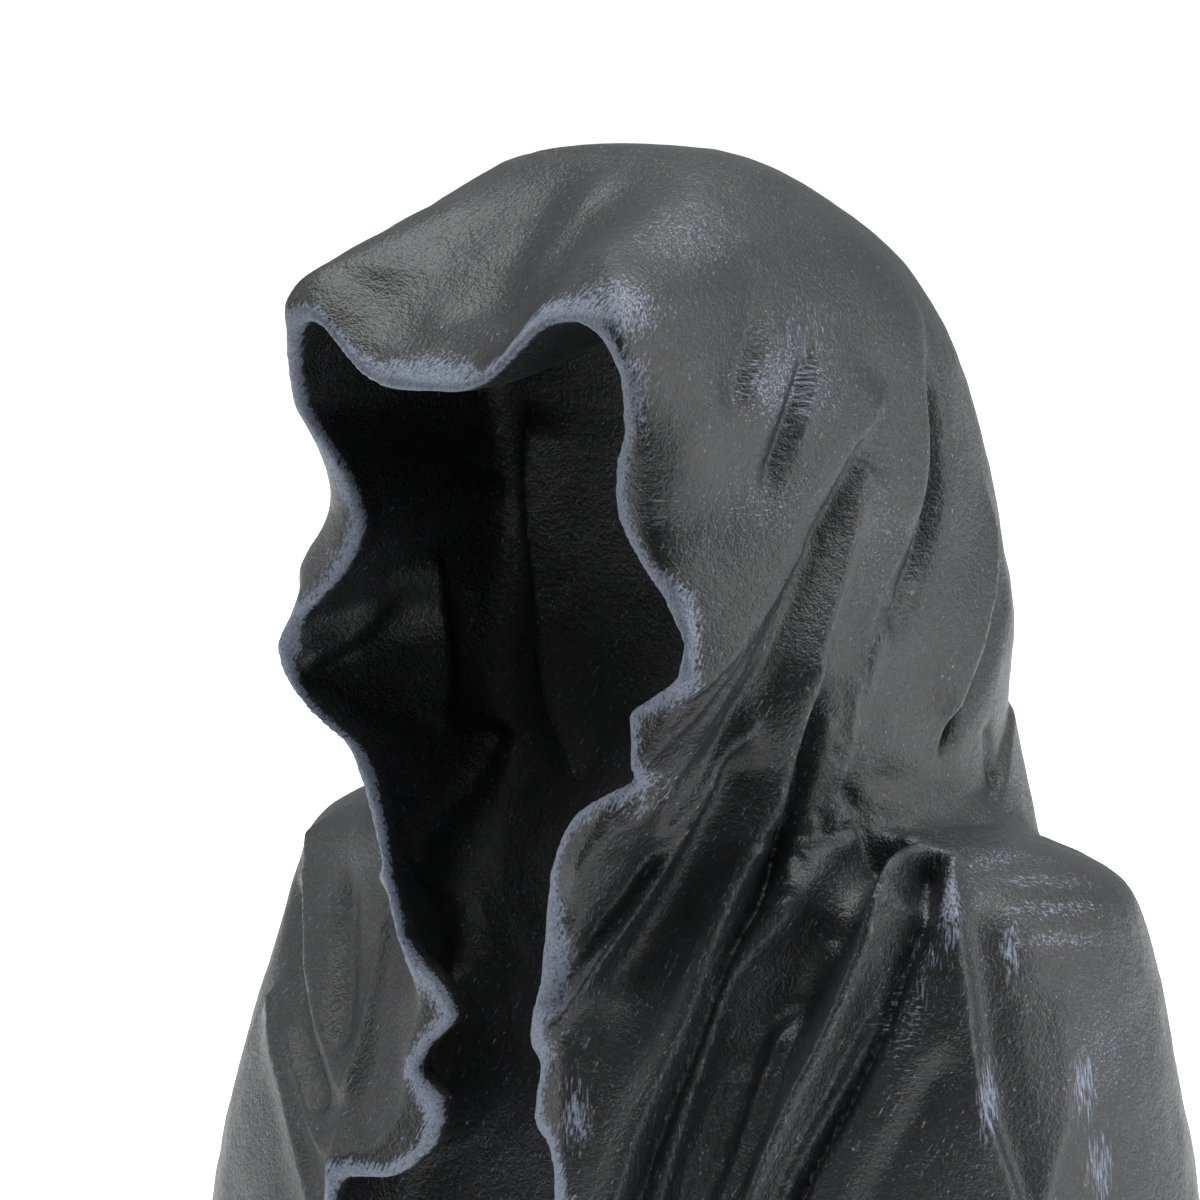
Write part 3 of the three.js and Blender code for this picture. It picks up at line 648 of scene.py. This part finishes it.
def make_fields(block):
    """The outer surface, the hollow turned inside out, and the casting that they leave."""
    x, y, z = block.x, block.y, block.z
    hood = hood_field(x, y, z)
    robe = as_distance(robe_field(x, y, z), block.step)
    collar = as_distance(collar_field(x, y, z), block.step)
    outer = soft_min(soft_min(hood, robe, 3.0), collar, 0.5)
    add_folds(block, outer, FOLDS)
    void = -hollow_field(x, y, z, outer)
    add_folds(block, void, INNER_FOLDS, soft_max(outer, void, 0.35))
    solid = soft_max(outer, void, 0.35)
    near = np.nonzero(np.abs(solid) < 1.2)
    points = np.stack([axis[near] for axis in (x, y, z)], 1)
    for seed, (spacing, height) in enumerate(LUMPS):
        solid[near] += (height * unevenness(points, spacing, seed)).astype(solid.dtype)
    return outer, void, soft_max(solid, -z, 0.3)


def new_mesh(name, vertices, faces):
    mesh = bpy.data.meshes.new(name)
    mesh.from_pydata(vertices, [], faces)
    mesh.validate()
    mesh.update()
    return mesh


def new_object(name, data):
    thing = bpy.data.objects.new(name, data)
    bpy.context.scene.collection.objects.link(thing)
    return thing


def thinned(mesh, most):
    """The same surface with at most that many triangles, more of them where it bends."""
    triangles = sum(len(face.vertices) - 2 for face in mesh.polygons)
    if triangles <= most:
        return mesh
    helper = new_object("helper", mesh)
    modifier = helper.modifiers.new("thin", "DECIMATE")
    modifier.ratio = most / triangles
    evaluated = helper.evaluated_get(bpy.context.evaluated_depsgraph_get())
    result = bpy.data.meshes.new_from_object(evaluated)
    bpy.data.objects.remove(helper)
    bpy.data.meshes.remove(mesh)
    return result


def read_points(mesh, what="co"):
    values = np.zeros(len(mesh.vertices) * 3, np.float32)
    source = mesh.vertices if what == "co" else mesh.vertex_normals
    source.foreach_get("co" if what == "co" else "vector", values)
    return values.reshape(-1, 3)


def store(mesh, name, values):
    layer = mesh.attributes.new(name, "FLOAT", "POINT")
    layer.data.foreach_set("value", np.asarray(values, np.float32))


def bending(block, solid, points, radius):
    """How strongly the surface bulges at the points, seen over that radius, in 1/mm."""
    times = max(1, round(2 * radius**2 / block.step**2))
    change = blurred(solid, times) - solid
    return block.sample(change, points) * 2 / (times * block.step**2 / 2)


# Where the brush went: its direction, the place on the picture, its reach across and up, strength
BRUSHED = [
    ("slant", (-10, 21), 8, 4, 0.45),
    ("slant", (5, 22), 6, 4, 0.7),
    ("slant", (1, 17.5), 3.5, 2.6, 1.1),
    ("slant", (-3, 15.5), 3, 2, 0.9),
    ("upright", (1.5, 12), 2, 4, 1.0),
    ("across", (11, 13), 5, 4, 0.85),
    ("upright", (12, 16), 5, 4, 0.6),
    ("across", (10, 6), 5, 4, 0.6),
    ("across", (17, 4), 5, 9, 0.55),
    ("upright", (3, -2), 1.6, 3.5, 1.1),
    ("across", (5, 5), 4, 4, 0.5),
    ("upright", (24, -15.4), 5, 1.3, 1.1),
    ("across", (26, -16.8), 6, 0.8, 0.85),
    ("across", (27, -18.5), 6, 0.8, 0.8),
    ("across", (27.5, -20.4), 5, 0.9, 0.8),
    ("upright", (24.7, -21), 0.9, 3, 1.0),
    ("upright", (29, -29), 1.2, 3, 1.0),
    ("upright", (30, -34), 1.2, 3, 1.0),
    ("across", (30, -27), 4, 6, 0.6),
    ("upright", (21, -18.5), 1.0, 3.5, 1.15),
    ("upright", (19.6, -22), 1.6, 3, 0.75),
    ("upright", (23.3, -30), 0.8, 4, 1.1),
    ("across", (18, -25), 3, 6, 0.65),
    ("upright", (-1.4, -31), 1.4, 3, 1.0),
    ("upright", (-2.5, -22), 1.6, 6, 0.6),
]


def brushed_places(points, normals, outside):
    """How much of each brush direction each point gets."""
    across, up, toward = view_axes(*PICTURE)
    from_eye = points - (CAMERA_TARGET + toward * CAMERA_DISTANCE)
    flat_scale = CAMERA_DISTANCE / -(from_eye @ toward)
    u = (from_eye @ across) * flat_scale
    v = (from_eye @ up) * flat_scale
    facing = ease((normals @ toward) / 0.5) * outside
    marks = {kind: np.zeros(len(points)) for kind in ("across", "upright", "slant")}
    for kind, (u0, v0), wide, high, strength in BRUSHED:
        spot = strength * np.exp(-(((u - u0) / wide) ** 2) - ((v - v0) / high) ** 2)
        marks[kind] = np.maximum(marks[kind], spot * facing)
    return marks


def from_edge(points, on_edge):
    """How far each point is from the nearest point on the edge of the opening."""
    tree = KDTree(int(on_edge.sum()))
    for i, point in enumerate(points[on_edge]):
        tree.insert(point, i)
    tree.balance()
    return [tree.find(point)[2] for point in points]


def make_casting():
    block = Block(GRID_STEP)
    outer, void, solid = make_fields(block)
    vertices, faces = surface_of(solid, block)
    mesh = thinned(new_mesh(NODE + "_fine", vertices, faces), MOST_TRIANGLES)
    for face in mesh.polygons:
        face.use_smooth = True
    points = read_points(mesh)
    normals = read_points(mesh, "normal")
    outer_here = block.sample(outer, points)
    void_here = block.sample(void, points)
    outside = ease((outer_here - void_here) / 0.5 + 0.5)
    store(mesh, "from_edge", from_edge(points, (np.abs(outer_here) < 0.4) & (np.abs(void_here) < 0.4)))
    store(mesh, "outside", outside)
    store(mesh, "bulge", bending(block, solid, points, 0.6))
    for kind, amount in brushed_places(points, normals, outside).items():
        store(mesh, "brushed_" + kind, amount)
    mesh.vertices.foreach_set("co", ((points + shift) * MM).astype(np.float32).ravel())
    mesh.update()
    return new_object("hooded_figure_casting", mesh)


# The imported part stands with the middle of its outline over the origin; its highest point is the
# crown's middle, so that shows how far the figure has moved
highest = max((vertex.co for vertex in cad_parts[NODE].data.vertices), key=lambda place: place.z)
shift = np.array(highest) / MM - CROWN

casting = make_casting()


class Nodes:
    """A material's nodes, made and joined in one go."""

    def __init__(self, name):
        self.material = bpy.data.materials.new(name)
        self.material.use_nodes = True
        self.tree = self.material.node_tree
        self.shader = self.tree.nodes["Principled BSDF"]

    def put(self, value, socket):
        if isinstance(value, bpy.types.NodeSocket):
            self.tree.links.new(value, socket)
        else:
            socket.default_value = value

    def add(self, kind, values, **settings):
        node = self.tree.nodes.new(kind)
        for name, setting in settings.items():
            setattr(node, name, setting)
        for name, value in values.items():
            self.put(value, node.inputs[name])
        return node

    def math(self, operation, *values):
        node = self.add("ShaderNodeMath", dict(enumerate(values)), operation=operation)
        return node.outputs[0]

    def ramp(self, value, low, high):
        """0 at low and 1 at high, smooth between."""
        values = {"Value": value, "From Min": low, "From Max": high}
        return self.add("ShaderNodeMapRange", values, interpolation_type="SMOOTHSTEP").outputs[0]

    def noise(self, place, scale, detail=2.0, roughness=0.5):
        values = {"Vector": place, "Scale": scale, "Detail": detail, "Roughness": roughness}
        return self.add("ShaderNodeTexNoise", values).outputs[0]

    def attribute(self, name):
        return self.add("ShaderNodeAttribute", {}, attribute_name=name).outputs["Fac"]

    def mix(self, share, a, b):
        node = self.add("ShaderNodeMix", {}, data_type="RGBA")
        self.put(share, node.inputs[0])
        self.put(a, node.inputs[6])
        self.put(b, node.inputs[7])
        return node.outputs[2]

    def streaks(self, place, along, length, width, seed):
        """Noise drawn out along a direction in space."""
        along = np.array(along, float) / np.linalg.norm(along)
        other = np.cross(along, view_axes(*PICTURE)[2])
        other /= np.linalg.norm(other)
        parts = []
        for direction, size in ((along, length), (other, width), (np.cross(along, other), width)):
            values = {0: place, 1: tuple(direction / size)}
            distance = self.add("ShaderNodeVectorMath", values, operation="DOT_PRODUCT").outputs["Value"]
            parts.append(self.math("ADD", distance, seed * 7.3))
        joined = self.add("ShaderNodeCombineXYZ", dict(zip("XYZ", parts))).outputs[0]
        return self.noise(joined, 1.0, 1.0, 0.6)


def paint():
    """Satin black paint with a bluish grey brushed dry over what stands out."""
    n = Nodes("black_painted_resin")
    coordinates = n.add("ShaderNodeTexCoord", {}).outputs["Object"]
    place = n.add("ShaderNodeVectorMath", {0: coordinates, "Scale": 1 / MM}, operation="SCALE").outputs[0]
    from_edge = n.attribute("from_edge")
    outside = n.attribute("outside")
    bulge = n.attribute("bulge")
    across, up, _ = view_axes(*PICTURE)
    cloudy = n.noise(place, 0.16, 1.0)
    grain = n.noise(place, 2.6, 2.0, 0.6)
    pores = n.noise(place, 6.0, 1.0, 0.7)
    speckle = n.noise(place, 4.5, 1.0, 0.6)
    marks = {
        "across": n.streaks(place, across, 1.5, 0.15, 1),
        "upright": n.streaks(place, up, 1.5, 0.15, 2),
        "slant": n.streaks(place, across * 0.5 + up * 0.87, 1.5, 0.15, 3),
    }

    # The band along the edge: dense at the edge, feathered outside, short inside
    width = n.math("MULTIPLY_ADD", n.ramp(cloudy, 0.4, 0.68), 2.0, 1.0)
    outer_band = n.math("SUBTRACT", 1.0, n.math("DIVIDE", from_edge, width))
    inner_band = n.math("SUBTRACT", 1.0, n.math("DIVIDE", from_edge, 0.5))
    band = n.math("MULTIPLY", n.math("MAXIMUM", outer_band, 0.0), outside)
    band = n.math("MAXIMUM", band, n.math("MULTIPLY", n.math("MAXIMUM", inner_band, 0.0), 0.8))
    rough_band = n.math("ADD", band, n.math("MULTIPLY_ADD", speckle, 1.0, -0.5))
    feathered = n.math("ADD", rough_band, n.math("MULTIPLY_ADD", marks["slant"], 1.4, -0.7))
    cover = n.ramp(feathered, 0.2, 0.7)
    for kind, streak in marks.items():
        wanted = n.math("MULTIPLY", n.attribute("brushed_" + kind), 0.5)
        cover = n.math("MAXIMUM", cover, n.ramp(n.math("ADD", streak, wanted), 0.82, 1.1))
    ridge = n.math("MULTIPLY", n.ramp(bulge, 0.5, 1.6), outside)
    ridge = n.math("ADD", n.math("MULTIPLY", ridge, 0.26), marks["upright"])
    cover = n.math("MAXIMUM", cover, n.ramp(ridge, 0.84, 1.2))
    brushed = n.mix(pores, (0.06, 0.075, 0.11, 1), (0.32, 0.38, 0.48, 1))
    black = n.mix(cloudy, (0.0065, 0.0067, 0.0072, 1), (0.016, 0.0165, 0.018, 1))
    n.put(n.mix(n.math("MULTIPLY", cover, 0.85), black, brushed), n.shader.inputs["Base Color"])
    roughness = n.math("MULTIPLY_ADD", cover, 0.2, n.math("MULTIPLY_ADD", grain, 0.2, 0.34))
    n.put(roughness, n.shader.inputs["Roughness"])
    height = n.math("MULTIPLY_ADD", pores, 0.6, grain)
    bump = n.add("ShaderNodeBump", {"Strength": 1.0, "Distance": 0.00009, "Height": height})
    n.put(bump.outputs[0], n.shader.inputs["Normal"])
    return n.material


casting.data.materials.append(paint())
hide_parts(NODE)
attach(casting, "root")


def make_floor():
    size = 20.0
    corners = [(-size, -size, 0), (size, -size, 0), (size, size, 0), (-size, size, 0)]
    floor = new_object("floor", new_mesh("floor", corners, [(0, 1, 2, 3)]))
    n = Nodes("pale_floor")
    n.put((0.93, 0.93, 0.935, 1), n.shader.inputs["Base Color"])
    n.put(0.9, n.shader.inputs["Roughness"])
    n.put((1, 1, 1, 1), n.shader.inputs["Emission Color"])
    n.put(0.6, n.shader.inputs["Emission Strength"])
    floor.data.materials.append(n.material)


def make_dark_screen():
    """A dark curved screen and mat before the figure, out of the picture, as its front reflects dark."""
    radius, height = 0.85, 0.62
    first, last = -95, 38
    count = 19
    upright = []
    flat = [tuple(in_view(0, 0.001, 0.06))]
    for i in range(count):
        turn = radians(first + (last - first) * i / (count - 1))
        foot = in_view(sin(turn) * radius, 0.001, cos(turn) * radius)
        upright += [tuple(foot), (foot.x, foot.y, height)]
        flat.append(tuple(foot))
    walls = [(2 * i, 2 * i + 2, 2 * i + 3, 2 * i + 1) for i in range(count - 1)]
    start = len(upright)
    mat = [(start, start + i, start + i + 1) for i in range(1, count)]
    screen = new_object("dark_screen", new_mesh("dark_screen", upright + flat, walls + mat))
    screen.visible_camera = False
    n = Nodes("black_cloth")
    n.put((0.012, 0.012, 0.012, 1), n.shader.inputs["Base Color"])
    n.put(1.0, n.shader.inputs["Roughness"])
    screen.data.materials.append(n.material)


def make_light(name, place, size, power, aim=(0, 0, 0.04)):
    data = bpy.data.lights.new(name, "AREA")
    data.shape = "RECTANGLE"
    data.size, data.size_y = size
    data.energy = power
    light = new_object(name, data)
    light.location = place
    light.rotation_mode = "QUATERNION"
    light.rotation_quaternion = (Vector(aim) - Vector(place)).to_track_quat("-Z", "Y")


def in_view(right, height, near):
    """A place in metres from the figure's middle: to the picture's right, up and towards the eye."""
    across, up, toward = view_axes(CAMERA_TURN, 0)
    return Vector(across * right + toward * near + np.array([0, 0, height]))


def make_light_and_air():
    world = bpy.data.worlds.new("studio")
    bpy.context.scene.world = world
    world.use_nodes = True
    background = world.node_tree.nodes["Background"]
    background.inputs["Color"].default_value = (0.98, 0.99, 1.0, 1)
    background.inputs["Strength"].default_value = 0.5
    make_light("overhead", in_view(0.05, 0.75, 0.0), (0.6, 0.6), 6.5)
    make_light("right", in_view(0.7, 0.35, 0.1), (0.25, 0.7), 3.0)
    make_light("left", in_view(-0.7, 0.35, -0.1), (0.2, 0.7), 1.6)


def make_camera():
    across, up, toward = view_axes(CAMERA_TURN, CAMERA_RISE)
    data = bpy.data.cameras.new("camera")
    data.lens = CAMERA_LENS
    camera = new_object("camera", data)
    camera.location = (CAMERA_TARGET + shift + toward * CAMERA_DISTANCE) * MM
    camera.rotation_mode = "QUATERNION"
    camera.rotation_quaternion = Vector(-toward).to_track_quat("-Z", "Y")
    bpy.context.scene.camera = camera


make_floor()
make_dark_screen()
make_light_and_air()
make_camera()
bpy.context.scene.view_settings.view_transform = "Standard"
